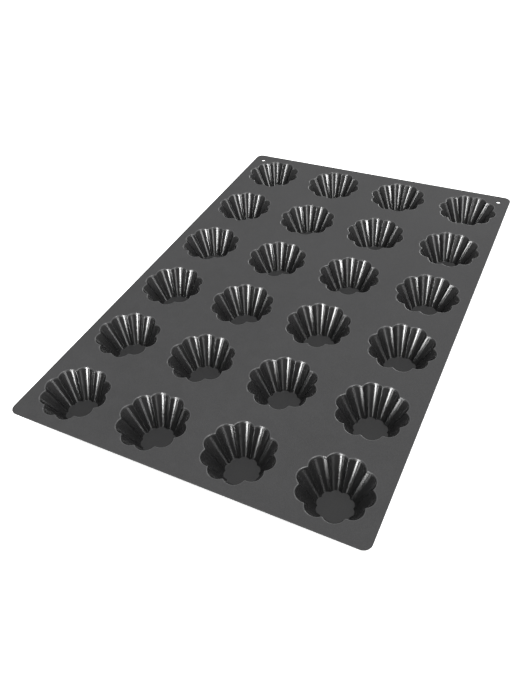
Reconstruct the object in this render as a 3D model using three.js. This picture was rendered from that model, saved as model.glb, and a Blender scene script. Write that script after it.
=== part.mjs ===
// Silicone brioche mould: a thin flat sheet with a grid of fluted cups hanging below it.
// Millimetres, +Z up, +Y towards the end with the hanging holes. The origin is the middle of the
// footprint, on the surface that the cups stand on.

import * as THREE from "three";
import { mergeVertices } from "three/addons/utils/BufferGeometryUtils.js";

// The grid of cups
const ROWS = 6; // along Y
const COLUMNS = 4; // along X
const WEB = 23; // flat rubber between two neighbouring mouths
const EDGE_LAND = 11.5; // flat rubber between the outer mouths and the edge of the sheet

// The inside of one cup
const FLUTES = 10;
const MOUTH_DIAMETER = 77; // over the flutes, where the slanting wall would meet the top face
const MOUTH_FLUTE_DEPTH = 4.9; // from the back of a flute in to the ridges beside it
const FLOOR_DIAMETER = 37.6; // over the flutes, at the floor
const FLOOR_FLUTE_DEPTH = 2;
const CUP_DEPTH = 34; // from the top face of the sheet down to the floor

// The thickness of the rubber
const SHEET_THICKNESS = 2;
const WALL_THICKNESS = 1.8; // square to the slanting wall
const FLOOR_THICKNESS = 2;

// Rounded edges
const CORNER_RADIUS = 9; // of the sheet, seen from above
const EDGE_ROUND = 0.8; // along the sheet's edge, above and below
const LIP_ROUND = 1.2; // where a cup's wall turns over into the top face
const ROUND_LIMIT = 0.45; // the share of the sheet's thickness that one round may take

// The two hanging holes, in the corners of the +Y end
const HANG_HOLE_DIAMETER = 6;
const HANG_HOLE_LAND = 8; // rubber between the hole and the mouth of the corner cup

// Straight steps in each round form
const FLUTE_STEPS = 4;
const CORNER_STEPS = 6;
const EDGE_STEPS = 2;
const HANG_HOLE_STEPS = 20;

// Heights and plan sizes that follow from the values above
const topFace = FLOOR_THICKNESS + CUP_DEPTH;
const underside = topFace - SHEET_THICKNESS; // the rim of each cup meets the sheet here
const pitch = MOUTH_DIAMETER + WEB;
const sheetWidth = COLUMNS * pitch - WEB + 2 * EDGE_LAND;
const sheetLength = ROWS * pitch - WEB + 2 * EDGE_LAND;

// The wall leans by this angle, so it is wider across than it is thick
const lean = Math.atan2((MOUTH_DIAMETER - FLOOR_DIAMETER) / 2, CUP_DEPTH);
const wallAcross = WALL_THICKNESS / Math.cos(lean);

// Collects the triangles of one closed skin. Rings run anticlockwise seen from above.
class Skin {
  points = [];

  // A strip between two rings of equally many points. Its outside is on the right of someone
  // who walks from the first ring to the second with the ring's direction ahead.
  strip(first, second) {
    first.forEach((corner, i) => {
      const next = (i + 1) % first.length;
      this.points.push(corner, first[next], second[next]);
      this.points.push(corner, second[next], second[i]);
    });
  }

  strips(rings) {
    rings.slice(1).forEach((ring, i) => this.strip(rings[i], ring));
  }

  // A flat face inside one ring and outside the others, which looks up or down.
  face(outline, holes, looksUp) {
    const corners = [outline, ...holes].flat();
    for (const [a, b, c] of THREE.ShapeUtils.triangulateShape(outline, holes)) {
      const order = looksUp ? [a, b, c] : [a, c, b];
      this.points.push(...order.map((i) => corners[i]));
    }
  }

  geometry() {
    return mergeVertices(new THREE.BufferGeometry().setFromPoints(this.points));
  }
}

// Points along an arc about (x, y), from one angle to another, with or without its last point.
function arcPoints(x, y, radius, from, to, steps, z, withLast) {
  const arc = new THREE.ArcCurve(x, y, radius, from, to, false);
  const count = withLast ? steps + 1 : steps;
  return Array.from({ length: count }, (_, i) => {
    const point = arc.getPoint(i / steps);
    return new THREE.Vector3(point.x, point.y, z);
  });
}

// The cup's inner outline at height z, moved outwards by `grow`: round flutes that meet in ridges.
// Each flute is the circle through its own back and the two ridges beside it, and a ridge points
// along +Y.
function fluteRing(z, grow) {
  const fall = (topFace - z) / CUP_DEPTH;
  const back = THREE.MathUtils.lerp(MOUTH_DIAMETER, FLOOR_DIAMETER, fall) / 2;
  const ridge = back - THREE.MathUtils.lerp(MOUTH_FLUTE_DEPTH, FLOOR_FLUTE_DEPTH, fall);
  const half = Math.PI / FLUTES;
  const sagitta = back - ridge * Math.cos(half);
  const halfChord = ridge * Math.sin(half);
  const radius = (halfChord ** 2 + sagitta ** 2) / (2 * sagitta);
  const centre = back - radius;

  const grown = radius + grow;
  const grownRidge = centre * Math.cos(half) + Math.sqrt(grown ** 2 - (centre * Math.sin(half)) ** 2);
  const reach = Math.atan2(grownRidge * Math.sin(half), grownRidge * Math.cos(half) - centre);
  return Array.from({ length: FLUTES }, (_, flute) => {
    const turn = Math.PI / 2 + half * (2 * flute + 1);
    const [x, y] = [centre * Math.cos(turn), centre * Math.sin(turn)];
    return arcPoints(x, y, grown, turn - reach, turn + reach, FLUTE_STEPS, z, false);
  }).flat();
}

// The sheet's outline at height z, moved inwards by `inset`: a rectangle with round corners.
function sheetRing(z, inset) {
  const quarter = Math.PI / 2;
  return [[1, 1], [-1, 1], [-1, -1], [1, -1]].flatMap(([sideX, sideY], corner) => {
    const x = sideX * (sheetWidth / 2 - CORNER_RADIUS);
    const y = sideY * (sheetLength / 2 - CORNER_RADIUS);
    const from = corner * quarter;
    return arcPoints(x, y, CORNER_RADIUS - inset, from, from + quarter, CORNER_STEPS, z, true);
  });
}

function movedRing(ring, { x, y }) {
  return ring.map((point) => new THREE.Vector3(point.x + x, point.y + y, point.z));
}

// The outer edge of the sheet, from its underside up to its top face, rounded twice.
function edgeRings() {
  const round = Math.min(EDGE_ROUND, ROUND_LIMIT * SHEET_THICKNESS);
  const steps = Array.from({ length: EDGE_STEPS + 1 }, (_, i) => ((i / EDGE_STEPS) * Math.PI) / 2);
  const lower = steps.map((a) => sheetRing(underside + round * (1 - Math.cos(a)), round * (1 - Math.sin(a))));
  const upper = steps.map((a) => sheetRing(topFace - round * (1 - Math.sin(a)), round * (1 - Math.cos(a))));
  return [...lower, ...upper];
}

// One cup's hole through the sheet, from the top face down: a lip, then the start of the wall.
function mouthRings(centre) {
  const lipTangent = LIP_ROUND * Math.tan((Math.PI / 2 - lean) / 2);
  const lipDrop = Math.min(lipTangent * Math.cos(lean), ROUND_LIMIT * SHEET_THICKNESS);
  const rings = [
    fluteRing(topFace, lipDrop / Math.cos(lean)),
    fluteRing(topFace - lipDrop, 0),
    fluteRing(underside, 0),
  ];
  return rings.map((ring) => movedRing(ring, centre));
}

function hangHoleRings({ x, y }) {
  const full = 2 * Math.PI;
  return [topFace, underside].map((z) =>
    arcPoints(x, y, HANG_HOLE_DIAMETER / 2, 0, full, HANG_HOLE_STEPS, z, false),
  );
}

// The middle of a cup, counted from the -X, -Y corner of the sheet.
function cupCentre(row, column) {
  return {
    x: (column - (COLUMNS - 1) / 2) * pitch,
    y: (row - (ROWS - 1) / 2) * pitch,
  };
}

// A hanging hole lies beyond a corner cup, on the line to the sheet's corner.
function hangHoleCentre(side) {
  const corner = cupCentre(ROWS - 1, COLUMNS - 1);
  const away = (MOUTH_DIAMETER / 2 + HANG_HOLE_LAND + HANG_HOLE_DIAMETER / 2) / Math.SQRT2;
  return { x: side * (corner.x + away), y: corner.y + away };
}

function sheetGeometry() {
  const cells = Array.from({ length: ROWS * COLUMNS }, (_, i) =>
    cupCentre(Math.floor(i / COLUMNS), i % COLUMNS),
  );
  const edge = edgeRings();
  const holes = [...cells.map(mouthRings), ...[-1, 1].map(hangHoleCentre).map(hangHoleRings)];

  const skin = new Skin();
  skin.strips(edge);
  holes.forEach((rings) => skin.strips(rings));
  skin.face(edge.at(0), holes.map((rings) => rings.at(-1)), false);
  skin.face(edge.at(-1), holes.map((rings) => rings.at(0)), true);
  return skin.geometry();
}

// A cup hangs from the sheet: its outside from the bottom up to the rim, then its inside down to
// the floor.
function cupGeometry() {
  const rings = [
    fluteRing(0, wallAcross),
    fluteRing(underside, wallAcross),
    fluteRing(underside, 0),
    fluteRing(FLOOR_THICKNESS, 0),
  ];
  const skin = new Skin();
  skin.strips(rings);
  skin.face(rings.at(0), [], false);
  skin.face(rings.at(-1), [], true);
  return skin.geometry();
}

function silicone(roughness) {
  return new THREE.MeshStandardMaterial({ color: 0x2f2f31, roughness, metalness: 0, flatShading: true });
}

function namedMesh(name, geometry, material) {
  const mesh = new THREE.Mesh(geometry, material);
  mesh.name = name;
  return mesh;
}

const satin = 0.6;
const glossy = 0.25;
const mould = new THREE.Group();
mould.add(namedMesh("top_sheet", sheetGeometry(), silicone(satin)));

const cupShape = cupGeometry();
for (let row = 0; row < ROWS; row++) {
  for (let column = 0; column < COLUMNS; column++) {
    const cup = namedMesh(`cup_row${row + 1}_column${column + 1}`, cupShape, silicone(glossy));
    const { x, y } = cupCentre(row, column);
    cup.position.set(x, y, 0);
    mould.add(cup);
  }
}

export default mould;
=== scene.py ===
# %% [markdown]
# # A silicone brioche mould
# The mould is one thin sheet of black silicone rubber with a grid of fluted cups hanging below it.
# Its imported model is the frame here: every piece is made in the same place and at the same size as the
# solid that it stands for, with the rounded lips, ridges and edges that rubber has, and a finish.

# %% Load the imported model
import math

import bpy
import numpy as np
from mathutils import Matrix, Vector
from mathutils.geometry import tessellate_polygon


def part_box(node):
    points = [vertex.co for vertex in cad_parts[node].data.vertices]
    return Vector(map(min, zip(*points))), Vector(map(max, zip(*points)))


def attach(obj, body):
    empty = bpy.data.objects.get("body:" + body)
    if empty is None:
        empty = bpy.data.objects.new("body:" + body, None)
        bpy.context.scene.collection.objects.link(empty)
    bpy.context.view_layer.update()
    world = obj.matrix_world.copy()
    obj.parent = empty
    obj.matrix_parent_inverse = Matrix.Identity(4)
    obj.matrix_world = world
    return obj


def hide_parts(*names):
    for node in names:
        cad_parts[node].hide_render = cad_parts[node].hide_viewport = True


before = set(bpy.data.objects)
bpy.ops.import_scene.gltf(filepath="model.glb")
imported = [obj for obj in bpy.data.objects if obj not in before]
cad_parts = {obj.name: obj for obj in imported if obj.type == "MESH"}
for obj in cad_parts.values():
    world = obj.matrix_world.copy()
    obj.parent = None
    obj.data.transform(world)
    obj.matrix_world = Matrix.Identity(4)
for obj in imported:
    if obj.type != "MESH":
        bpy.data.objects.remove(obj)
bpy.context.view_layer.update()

MM = 0.001

# %% [markdown]
# ## The camera
# A photograph fixes the camera: where it stands, what it looks at, how far it is tilted to one side and
# how long its lens is. The picture is upright, so the sensor's width runs along the picture's height.
# The place is measured from the middle of the sheet's top face.

# %% Stand the camera where the photograph was taken
sheet_low, sheet_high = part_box("top_sheet")
top_face = sheet_high.z
CAMERA_FROM_TOP = Vector((268.1, -572.9, 504.1)) * MM
CAMERA_AIM = Vector((8.5, -113.7, 0.0)) * MM
CAMERA_ROLL = math.radians(4.89)
LENS_MM = 33.41

top_middle = Vector((0.0, 0.0, top_face))
camera = bpy.data.objects.new("camera", bpy.data.cameras.new("camera"))
camera.data.lens = LENS_MM
camera.location = top_middle + CAMERA_FROM_TOP
level_view = (CAMERA_AIM - CAMERA_FROM_TOP).to_track_quat("-Z", "Y").to_matrix()
tilted_view = level_view @ Matrix.Rotation(-CAMERA_ROLL, 3, "Z")
camera.rotation_euler = tilted_view.to_euler()
bpy.context.scene.collection.objects.link(camera)
bpy.context.scene.camera = camera
print("camera stands", round((CAMERA_FROM_TOP - CAMERA_AIM).length, 3), "m from what it looks at")

# %% [markdown]
# ## Shader maths in plain Python
# A finish is a small graph of nodes, and graphs are hard to read in a script. This class holds one
# socket of a graph, so that `0.3 + 0.2 * smudge` adds the Math nodes by itself. Everything that isn't
# plain arithmetic comes from one method, which takes a node's type, its settings and its sockets.

# %% A socket that can be added, multiplied and mixed
class Wire:
    def __init__(self, tree, socket=None):
        self.tree = tree
        self.socket = socket

    def node(self, kind, settings, sockets, output=0):
        made = self.tree.nodes.new(kind)
        for name, value in settings.items():
            setattr(made, name, value)
        for name, value in sockets.items():
            if isinstance(value, Wire):
                self.tree.links.new(value.socket, made.inputs[name])
            else:
                made.inputs[name].default_value = value
        return Wire(self.tree, made.outputs[output])

    def maths(self, operation, first, second):
        return self.node("ShaderNodeMath", {"operation": operation}, {0: first, 1: second})

    def __add__(self, other):
        return self.maths("ADD", self, other)

    def __radd__(self, other):
        return self.maths("ADD", other, self)

    def __sub__(self, other):
        return self.maths("SUBTRACT", self, other)

    def __rsub__(self, other):
        return self.maths("SUBTRACT", other, self)

    def __mul__(self, other):
        return self.maths("MULTIPLY", self, other)

    def __rmul__(self, other):
        return self.maths("MULTIPLY", other, self)

    def noise(self, size, detail=2.0, roughness=0.55, stretch=(1, 1, 1)):
        """Cloudy noise from 0 to 1 whose blotches are about `size` across, drawn out by `stretch`."""
        scaled = self.node("ShaderNodeVectorMath", {"operation": "DIVIDE"}, {0: self, 1: stretch})
        settings = {"noise_dimensions": "3D", "normalize": True}
        sockets = {"Vector": scaled, "Scale": 1 / size, "Detail": detail, "Roughness": roughness}
        return self.node("ShaderNodeTexNoise", settings, sockets)

    def between(self, low, high):
        """0 below `low`, 1 above `high`, and a smooth step from one to the other."""
        settings = {"interpolation_type": "SMOOTHSTEP", "clamp": True}
        return self.node("ShaderNodeMapRange", settings, {"Value": self, "From Min": low, "From Max": high})


print("a wire adds, subtracts and multiplies, and makes any node")

# %% [markdown]
# ## What every finish starts from
# All of the mould is one rubber, so all its finishes share a cool black and the index of refraction of
# silicone, which is lower than that of most plastics. They differ in how smooth the rubber is, and in how
# dark: the darker colours of the flutes and of the floors inside the cups are painted shade. They could be
# copies of one finished material, but a function that hands out an empty one keeps each finish down to what
# is its own.

# %% Colours and an empty finish
COOL_CAST = 1.02
SILICONE_IOR = 1.41


def grey(level):
    """A neutral colour with a breath of blue, as black silicone has."""
    return (level, level, level * COOL_CAST, 1.0)


def mixed_colour(share, first, second):
    settings = {"data_type": "RGBA", "blend_type": "MIX"}
    return share.node("ShaderNodeMix", settings, {0: share, 6: first, 7: second}, output=2)


def new_finish(name):
    """An empty material, its shader, and a wire that carries the place on the object in metres."""
    material = bpy.data.materials.new(name)
    material.use_nodes = True
    shader = material.node_tree.nodes["Principled BSDF"]
    shader.inputs["IOR"].default_value = SILICONE_IOR
    place = Wire(material.node_tree).node("ShaderNodeTexCoord", {}, {}, output="Object")
    return material, shader, place


def feed(shader, socket, wire):
    wire.tree.links.new(wire.socket, shader.inputs[socket])


print("rubber with an index of refraction of", SILICONE_IOR)

# %% [markdown]
# ## Satin silicone
# The flat sheet is moulded against a finely blasted steel plate, so it is satin: an even charcoal with a
# grain finer than a pinprick, and it mirrors less than plain rubber does. Hands and scrapers leave broad,
# faint smudges that show in the shine more than in the colour. Three noises of different sizes give the
# grain, the smudges and a slow drift of tone. The outside of the cups is a little smoother, and the floors
# inside are smoother still, with a darker colour that is painted shade for the bottom of the cups.

# %% Satin finish for the sheet, the outside of the cups and their floors
SATIN_DARK = grey(0.026)
SATIN_LIGHT = grey(0.046)
# The floors' darker colours are painted shade for the bottom of the cups.
SHADED_FLOOR_DARK = grey(0.018)
SHADED_FLOOR_LIGHT = grey(0.028)
SATIN_SPECULAR = 0.25
CRISP = (0.3, 0.7)
DRIFT_SIZE = 70 * MM
DRIFT_SHARE = 0.35
SMUDGE_SIZE = 14 * MM
SMUDGE_SHARE = 0.25
SMUDGE_SHINE = 0.1
GRAIN_SIZE = 0.7 * MM
GRAIN_SHARE = 0.4
GRAIN_HEIGHT = 0.08 * MM
GRAIN_STRENGTH = 0.7


def satin_silicone(name, roughness, dark=SATIN_DARK, light=SATIN_LIGHT):
    material, shader, place = new_finish(name)
    drift = place.noise(DRIFT_SIZE)
    smudge = place.noise(SMUDGE_SIZE, detail=4.0).between(*CRISP)
    grain = place.noise(GRAIN_SIZE, detail=1.0).between(*CRISP)
    tone = DRIFT_SHARE * drift + SMUDGE_SHARE * smudge + GRAIN_SHARE * grain
    feed(shader, "Base Color", mixed_colour(tone, dark, light))
    feed(shader, "Roughness", roughness + SMUDGE_SHINE * (smudge - 0.5))
    sockets = {"Height": grain, "Strength": GRAIN_STRENGTH, "Distance": GRAIN_HEIGHT}
    feed(shader, "Normal", grain.node("ShaderNodeBump", {}, sockets))
    shader.inputs["Specular IOR Level"].default_value = SATIN_SPECULAR
    return material


satin_top = satin_silicone("satin_top", roughness=0.85)
satin_under = satin_silicone("satin_under", roughness=0.7)
# The cup floors, in darker colours that are painted shade.
satin_floor_painted_shade = satin_silicone("satin_floor_painted_shade", roughness=0.55, dark=SHADED_FLOOR_DARK, light=SHADED_FLOOR_LIGHT)
print("made", satin_top.name, satin_under.name, "and", satin_floor_painted_shade.name)

# %% [markdown]
# ## Glossy silicone
# The cups are moulded on polished cores, so that the brioche lets go. Such a core is milled ring by ring,
# and the rubber copies what the polish leaves of the marks. They run round the cup, so each reflection is
# drawn out into a thin streak down the flute. Real grooves would take millions of faces, so the shader's
# anisotropy stands for them. Blender draws a reflection out around the object's Z axis, and a quarter of a
# turn sends it down the wall instead. A slow waviness keeps the streaks from looking ruled. The lips have
# no such marks, and at the top they take the colour of the sheet. The flutes are the sheet's rubber, but
# their colour is kept darker than the sheet's: that darkness is painted shade for the inside of the cups.

# %% Glossy finish for the flutes and the lips
# Darker than the sheet's colours: painted shade for the inside of the cups.
SHADED_FLUTE_DARK = grey(0.009)
SHADED_FLUTE_LIGHT = grey(0.013)
FLUTE_ROUGHNESS = 0.23
LIP_ROUGHNESS = 0.32
DRAWN_OUT = 0.95
DOWN_THE_WALL = 0.25
LIP_FADE_TOP = 0.2 * MM
LIP_FADE_FOOT = 1.0 * MM
FILM_SIZE = 9 * MM
FILM_SHINE = 0.06
WAVE_SIZE = 5 * MM
WAVE_STRETCH = (1, 1, 4)
WAVE_HEIGHT = 0.01 * MM
WAVE_STRENGTH = 0.2


def glossy_silicone(name, roughness, drawn_out):
    material, shader, place = new_finish(name)
    height = place.node("ShaderNodeSeparateXYZ", {}, {0: place}, output="Z")
    lip = height.between(top_face - LIP_FADE_FOOT, top_face - LIP_FADE_TOP)
    film = place.noise(FILM_SIZE, detail=3.0)
    wave = place.noise(WAVE_SIZE, detail=1.0, stretch=WAVE_STRETCH)
    # The flutes' colour, darkened as painted shade; the lips fade from it to the sheet's colour at the top.
    shaded_flute_colour = mixed_colour(film, SHADED_FLUTE_DARK, SHADED_FLUTE_LIGHT)
    feed(shader, "Base Color", mixed_colour(lip, shaded_flute_colour, SATIN_LIGHT))
    feed(shader, "Roughness", roughness + FILM_SHINE * (film - 0.5))
    sockets = {"Height": wave, "Strength": WAVE_STRENGTH, "Distance": WAVE_HEIGHT}
    feed(shader, "Normal", wave.node("ShaderNodeBump", {}, sockets))
    shader.inputs["Anisotropic"].default_value = drawn_out
    shader.inputs["Anisotropic Rotation"].default_value = DOWN_THE_WALL
    return material


glossy_flutes = glossy_silicone("glossy_flutes", FLUTE_ROUGHNESS, drawn_out=DRAWN_OUT)
glossy_lips = glossy_silicone("glossy_lips", LIP_ROUGHNESS, drawn_out=0.0)
print("made", glossy_flutes.name, "and", glossy_lips.name)

# %% [markdown]
# ## The fluted outline
# Seen from above, a cup is ten round flutes that meet in ridges pointing inwards. A flute is an arc of the
# circle through its own back and the two ridges beside it. Rubber can't hold a knife edge, so a small
# circle that touches both neighbours rounds each ridge, and it shrinks towards the floor as the flutes do.
# The same outline, grown outwards, gives the outside of the wall.

# %% One ring of points around a cup
FLUTES = 10
FLOOR_THICKNESS = 2.0 * MM
MOUTH_RADIUS = 38.5 * MM
MOUTH_FLUTE_DEPTH = 4.9 * MM
FLOOR_RADIUS = 18.8 * MM
FLOOR_FLUTE_DEPTH = 2.0 * MM
MOUTH_RIDGE_ROUND = 1.1 * MM
FLOOR_RIDGE_ROUND = 0.5 * MM
FLUTE_STEPS = 10
RIDGE_STEPS = 4
cup_depth = top_face - FLOOR_THICKNESS


def blended(mouth_value, floor_value, fall):
    """A value that changes evenly from the mouth, at a fall of 0, to the floor, at 1."""
    return mouth_value + (floor_value - mouth_value) * fall


def fluted_outline(z, grow):
    """x and y of the cup's inner outline at height z, moved outwards by `grow`."""
    fall = (top_face - z) / cup_depth
    back = blended(MOUTH_RADIUS, FLOOR_RADIUS, fall)
    ridge = back - blended(MOUTH_FLUTE_DEPTH, FLOOR_FLUTE_DEPTH, fall)
    ridge_round = blended(MOUTH_RIDGE_ROUND, FLOOR_RIDGE_ROUND, fall)
    half = math.pi / FLUTES
    rise = back - ridge * math.cos(half)
    chord = ridge * math.sin(half)
    radius = (chord**2 + rise**2) / (2 * rise)
    centre = back - radius
    apart = radius + grow + ridge_round
    ridge_centre = centre * math.cos(half) + math.sqrt(apart**2 - (centre * math.sin(half)) ** 2)
    reach = math.atan2(ridge_centre * math.sin(half), ridge_centre * math.cos(half) - centre)
    spread = reach - half

    points = []
    for flute in range(FLUTES):
        turn = math.pi / 2 + half * (2 * flute + 1)
        arc = turn + np.linspace(-reach, reach, FLUTE_STEPS + 1)
        middle = centre * np.array([math.cos(turn), math.sin(turn)])
        points.append(middle + (radius + grow) * np.column_stack([np.cos(arc), np.sin(arc)]))
        tip = turn + half
        arc = tip + math.pi + np.linspace(spread, -spread, RIDGE_STEPS + 1)[1:-1]
        middle = ridge_centre * np.array([math.cos(tip), math.sin(tip)])
        points.append(middle + ridge_round * np.column_stack([np.cos(arc), np.sin(arc)]))
    return np.vstack(points)


def raised(outline, z):
    return np.column_stack([outline, np.full(len(outline), z)])


def cup_ring(z, grow=0.0):
    return raised(fluted_outline(z, grow), z)


mouth = cup_ring(top_face)
print(len(mouth), "points round a mouth of", round(np.ptp(mouth[:, 0]) / MM, 1), "mm")

# %% [markdown]
# ## From rings to a skin
# A moulded shell is easiest to think of as a path across its section: along the outside, round the rim and
# down the inside. Each step of that path is a closed ring, two rings in a row make a strip of faces, and
# the two ends are closed by flat faces. Sharp edges are found by their angle once the mesh is whole.

# %% A helper that collects rings, strips and flat faces
SHARP_ANGLE = math.radians(40)


class Skin:
    def __init__(self):
        self.points = []
        self.faces = []
        self.finishes = []

    def ring(self, points):
        first = len(self.points)
        self.points.extend(map(tuple, points))
        return list(range(first, len(self.points)))

    def strip(self, lower, upper, finish):
        for i, corner in enumerate(lower):
            j = (i + 1) % len(lower)
            self.faces.append((corner, lower[j], upper[j], upper[i]))
            self.finishes.append(finish)

    def strips(self, rings, finish):
        for lower, upper in zip(rings, rings[1:]):
            self.strip(lower, upper, finish)

    def flat(self, ring, finish, looks_up):
        self.faces.append(tuple(ring if looks_up else reversed(ring)))
        self.finishes.append(finish)

    def flat_with_holes(self, outline, holes, finish, looks_up):
        loops = [outline, *holes]
        corners = [corner for loop in loops for corner in loop]
        places = [[Vector(self.points[corner]) for corner in loop] for loop in loops]
        for triangle in tessellate_polygon(places):
            a, b, c = (Vector(self.points[corners[i]]).to_2d() for i in triangle)
            faces_up = (b - a).cross(c - a) > 0
            order = triangle if faces_up == looks_up else tuple(reversed(triangle))
            self.faces.append(tuple(corners[i] for i in order))
            self.finishes.append(finish)

    def piece(self, name):
        mesh = bpy.data.meshes.new(name)
        mesh.from_pydata(self.points, [], self.faces)
        slots = {}
        for finish in self.finishes:
            if finish not in slots:
                slots[finish] = len(slots)
                mesh.materials.append(finish)
        mesh.polygons.foreach_set("material_index", [slots[finish] for finish in self.finishes])
        mesh.shade_smooth()
        mesh.set_sharp_from_angle(angle=SHARP_ANGLE)
        made = bpy.data.objects.new(name, mesh)
        bpy.context.scene.collection.objects.link(made)
        return made


print("edges over", round(math.degrees(SHARP_ANGLE)), "degrees stay sharp")

# %% [markdown]
# ## The sheet
# The sheet is flat, two millimetres thick, with rounded corners and a rounded edge. Each mouth turns over
# into the flat face in a lip just over a millimetre round, wide enough to catch the light as a thin rim.
# A bevel could round these edges afterwards, but as rings of points they stay exactly where the solid's
# edges are. Beside every round there is one more ring in the flat face, so that the flat face shades flat.

# %% Rounds that turn from a flat face into a wall
LIP_ROUND = 1.2 * MM
LIP_STEPS = 7
EDGE_ROUND = 0.8 * MM
EDGE_STEPS = 3
FLAT_BORDER = 0.4 * MM
lean = math.atan2(MOUTH_RADIUS - FLOOR_RADIUS, cup_depth)


def lip_steps():
    """The flat border of a mouth, then its lip, as heights and outward growth over the slanting wall."""
    tangent = LIP_ROUND * math.tan((math.pi / 2 - lean) / 2)
    steps = [(top_face, tangent + FLAT_BORDER)]
    for angle in np.linspace(math.pi / 2, math.pi - lean, LIP_STEPS + 1):
        z = top_face - LIP_ROUND * (1 - math.sin(angle))
        across = tangent + LIP_ROUND * math.cos(angle)
        steps.append((z, across + (top_face - z) * math.tan(lean)))
    return steps


print("lip:", [(round(z / MM, 2), round(grow / MM, 2)) for z, grow in lip_steps()])

# %% The outline of the sheet and its edge
CORNER_RADIUS = 9.0 * MM
CORNER_STEPS = 12
underside = sheet_low.z


def sheet_outline(inset):
    corner_middle = np.array(sheet_high.to_2d()) - CORNER_RADIUS
    points = []
    for corner, sides in enumerate([(1, 1), (-1, 1), (-1, -1), (1, -1)]):
        middle = corner_middle * sides
        arc = math.pi / 2 * (corner + np.linspace(0, 1, CORNER_STEPS + 1))
        points.append(middle + (CORNER_RADIUS - inset) * np.column_stack([np.cos(arc), np.sin(arc)]))
    return np.vstack(points)


def edge_steps(low, high, rounding, steps):
    """Heights and insets of a wall between two flat faces, rounded at both ends, from the bottom up."""
    quarter = np.linspace(0, math.pi / 2, steps + 1)
    lower = [(low + rounding * (1 - math.cos(a)), rounding * (1 - math.sin(a))) for a in quarter]
    upper = [(high - rounding * (1 - math.sin(a)), rounding * (1 - math.cos(a))) for a in quarter]
    border = rounding + FLAT_BORDER
    return [(low, border), *lower, *upper, (high, border)]


print("edge:", len(edge_steps(underside, top_face, EDGE_ROUND, EDGE_STEPS)), "rings")

# %% The sheet with its mouths and hanging holes
HANG_HOLE_RADIUS = 3.0 * MM
HANG_HOLE_INSET = 15.0 * MM
HANG_HOLE_ROUND = 0.3 * MM
HANG_HOLE_STEPS = 32
cup_names = sorted(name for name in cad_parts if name.startswith("cup_"))


def cup_middle(name):
    low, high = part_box(name)
    return np.array([(low.x + high.x) / 2, (low.y + high.y) / 2, 0.0])


def circle(middle, radius):
    arc = np.linspace(0, 2 * math.pi, HANG_HOLE_STEPS, endpoint=False)
    return middle + radius * np.column_stack([np.cos(arc), np.sin(arc)])


def make_sheet():
    skin = Skin()
    edge = [
        skin.ring(raised(sheet_outline(inset), z))
        for z, inset in edge_steps(underside, top_face, EDGE_ROUND, EDGE_STEPS)
    ]
    skin.strips(edge, satin_top)
    tops = []
    bottoms = []
    for name in cup_names:
        rings = [skin.ring(cup_ring(z, grow) + cup_middle(name)) for z, grow in lip_steps()]
        rings.append(skin.ring(cup_ring(underside) + cup_middle(name)))
        skin.strip(rings[0], rings[1], satin_top)
        skin.strips(rings[1:], glossy_lips)
        tops.append(rings[0])
        bottoms.append(rings[-1])
    for side in (-1, 1):
        middle = np.array([side * (sheet_high.x - HANG_HOLE_INSET), sheet_high.y - HANG_HOLE_INSET])
        steps = edge_steps(underside, top_face, HANG_HOLE_ROUND, EDGE_STEPS)
        rings = [
            skin.ring(raised(circle(middle, HANG_HOLE_RADIUS + inset), z))
            for z, inset in reversed(steps)
        ]
        skin.strips(rings, satin_top)
        tops.append(rings[0])
        bottoms.append(rings[-1])
    skin.flat_with_holes(edge[-1], tops, satin_top, looks_up=True)
    skin.flat_with_holes(edge[0], bottoms, satin_top, looks_up=False)
    return skin.piece("silicone_sheet")


sheet = make_sheet()
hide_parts("top_sheet")
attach(sheet, "root")
print("sheet:", len(sheet.data.polygons), "faces and", len(cup_names), "mouths")

# %% [markdown]
# ## The cups
# A cup's path runs from the middle of its underside out to a rounded foot, up the outside, round into the
# sheet's underside, across the rim and down the inside to a rounded floor. The flutes are glossy, and the
# floor and the outside are satin. All cups are alike, so one function makes each of them at its node.

# %% Rounds at the foot, the floor and under the sheet
WALL_THICKNESS = 1.8 * MM
FLOOR_ROUND = 0.6 * MM
FOOT_ROUND = 3.0 * MM
UNDER_ROUND = 2.0 * MM
CUP_ROUND_STEPS = 4
WALL_BANDS = 3
wall_across = WALL_THICKNESS / math.cos(lean)


def foot_steps(level, rounding, outward):
    """A hollow or a foot that turns from a flat face at `level` up into a wall moved by `outward`."""
    tangent = rounding * math.tan((math.pi / 2 - lean) / 2)
    steps = [(level, outward - tangent - FLAT_BORDER)]
    for angle in np.linspace(-math.pi / 2, -lean, CUP_ROUND_STEPS + 1):
        z = level + rounding * (1 + math.sin(angle))
        across = rounding * math.cos(angle) - tangent
        steps.append((z, outward + across - (z - level) * math.tan(lean)))
    return steps


def flare_steps():
    """The outside of the wall turning out into the underside of the sheet."""
    tangent = UNDER_ROUND * math.tan((math.pi / 2 - lean) / 2)
    steps = []
    for angle in np.linspace(math.pi - lean, math.pi / 2, CUP_ROUND_STEPS + 1):
        z = underside - UNDER_ROUND * (1 - math.sin(angle))
        across = tangent + UNDER_ROUND * math.cos(angle)
        steps.append((z, wall_across + across + (underside - z) * math.tan(lean)))
    return steps


print("foot:", [(round(z / MM, 2), round(g / MM, 2)) for z, g in foot_steps(0.0, FOOT_ROUND, wall_across)])
print("flare:", [(round(z / MM, 2), round(g / MM, 2)) for z, g in flare_steps()])

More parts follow.
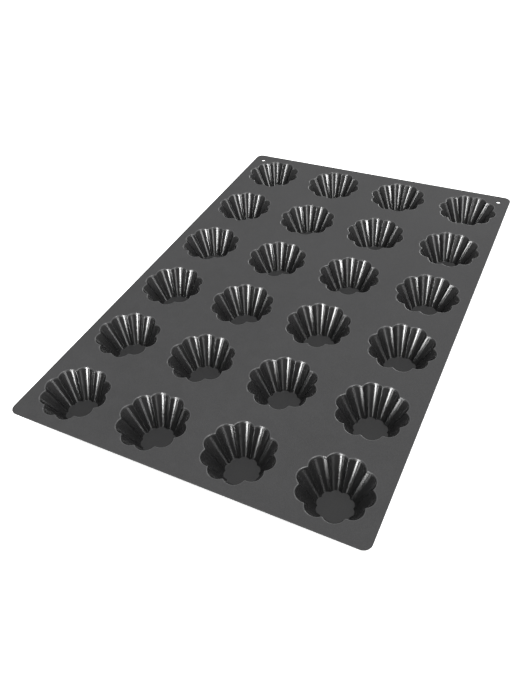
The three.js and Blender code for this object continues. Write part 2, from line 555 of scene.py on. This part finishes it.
# %% One piece for each cup
def make_cup(name):
    skin = Skin()
    middle = cup_middle(name)
    outside = foot_steps(0.0, FOOT_ROUND, wall_across) + flare_steps()
    outer = [skin.ring(cup_ring(z, grow) + middle) for z, grow in outside]
    floor = foot_steps(FLOOR_THICKNESS, FLOOR_ROUND, 0.0)
    floor.reverse()
    wall_foot = floor[0][0]
    wall = [(z, 0.0) for z in np.linspace(underside, wall_foot, WALL_BANDS, endpoint=False)]
    inner = [skin.ring(cup_ring(z, grow) + middle) for z, grow in wall + floor]
    skin.flat(outer[0], satin_under, looks_up=False)
    skin.strips([*outer, inner[0]], satin_under)
    skin.strips(inner[: WALL_BANDS + 1], glossy_flutes)
    skin.strips(inner[WALL_BANDS:], satin_floor_painted_shade)
    skin.flat(inner[-1], satin_floor_painted_shade, looks_up=True)
    return skin.piece(name.replace("cup", "fluted_cup"))


for name in cup_names:
    cup = make_cup(name)
    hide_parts(name)
    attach(cup, "root")
print("cups:", len(cup_names), "with", len(cup.data.polygons), "faces each")

# %% [markdown]
# ## Floor and light
# The mould stands on a plain white table in a bright white room, which gives the sheet its even grey. The
# table glows a little, so that the mould's own shadow doesn't grey it. A wide light high up behind the
# mould is mirrored as the thin rim on each lip. The flutes mirror a tall soft box in front and weaker ones
# on the left and the right as streaks, and one more does the same for views from behind. A soft box strong
# enough for black rubber would swamp everything else, so all four are seen in reflections only.

# %% A pale floor
TABLE_SIZE = 8.0
TABLE_WHITE = (0.93, 0.93, 0.93, 1.0)
TABLE_ROUGHNESS = 0.9
TABLE_GLOW = 0.75
half = TABLE_SIZE / 2
table_corners = [(-half, -half, 0), (half, -half, 0), (half, half, 0), (-half, half, 0)]
table_mesh = bpy.data.meshes.new("white_table")
table_mesh.from_pydata(table_corners, [], [(0, 1, 2, 3)])
table = bpy.data.objects.new("white_table", table_mesh)
bpy.context.scene.collection.objects.link(table)
table_paint, table_shader, _ = new_finish("table_paint")
table_shader.inputs["Base Color"].default_value = TABLE_WHITE
table_shader.inputs["Roughness"].default_value = TABLE_ROUGHNESS
table_shader.inputs["Emission Color"].default_value = TABLE_WHITE
table_shader.inputs["Emission Strength"].default_value = TABLE_GLOW
table_mesh.materials.append(table_paint)
print("table is", TABLE_SIZE, "m wide")

# %% Soft studio light
KEY_PLACE = (0.4, 0.87, 2.85)
KEY_WIDTH = math.radians(25)
KEY_STRENGTH = 2.0


def add_light(name, kind, place, strength):
    """A light that looks at the middle of the sheet and stays out of the picture itself."""
    lamp = bpy.data.objects.new(name, bpy.data.lights.new(name, kind))
    lamp.data.energy = strength
    lamp.location = place
    lamp.rotation_euler = (top_middle - lamp.location).to_track_quat("-Z", "Y").to_euler()
    lamp.visible_camera = False
    bpy.context.scene.collection.objects.link(lamp)
    return lamp


def soft_box(name, place, width, height, watts):
    lamp = add_light(name, "AREA", place, watts)
    lamp.data.shape = "RECTANGLE"
    lamp.data.size = width
    lamp.data.size_y = height
    lamp.visible_diffuse = False


key = add_light("key", "SUN", KEY_PLACE, KEY_STRENGTH)
key.data.angle = KEY_WIDTH
soft_box("front_box", place=(-0.30, -2.84, 1.00), width=0.62, height=1.40, watts=230)
soft_box("left_box", place=(-1.36, -2.68, 1.00), width=0.36, height=1.40, watts=40)
soft_box("right_box", place=(2.16, -0.96, 1.92), width=1.00, height=1.60, watts=96)
soft_box("back_box", place=(0.30, 2.86, 0.92), width=1.00, height=1.32, watts=40)

# %% A bright white room
ROOM_WHITE = (1.0, 1.0, 1.0, 1.0)
ROOM_STRENGTH = 1.0
room = bpy.data.worlds.new("white_room")
room.use_nodes = True
background = room.node_tree.nodes["Background"]
background.inputs["Color"].default_value = ROOM_WHITE
background.inputs["Strength"].default_value = ROOM_STRENGTH
bpy.context.scene.world = room
bpy.context.scene.view_settings.view_transform = "Standard"
print("room strength:", ROOM_STRENGTH)
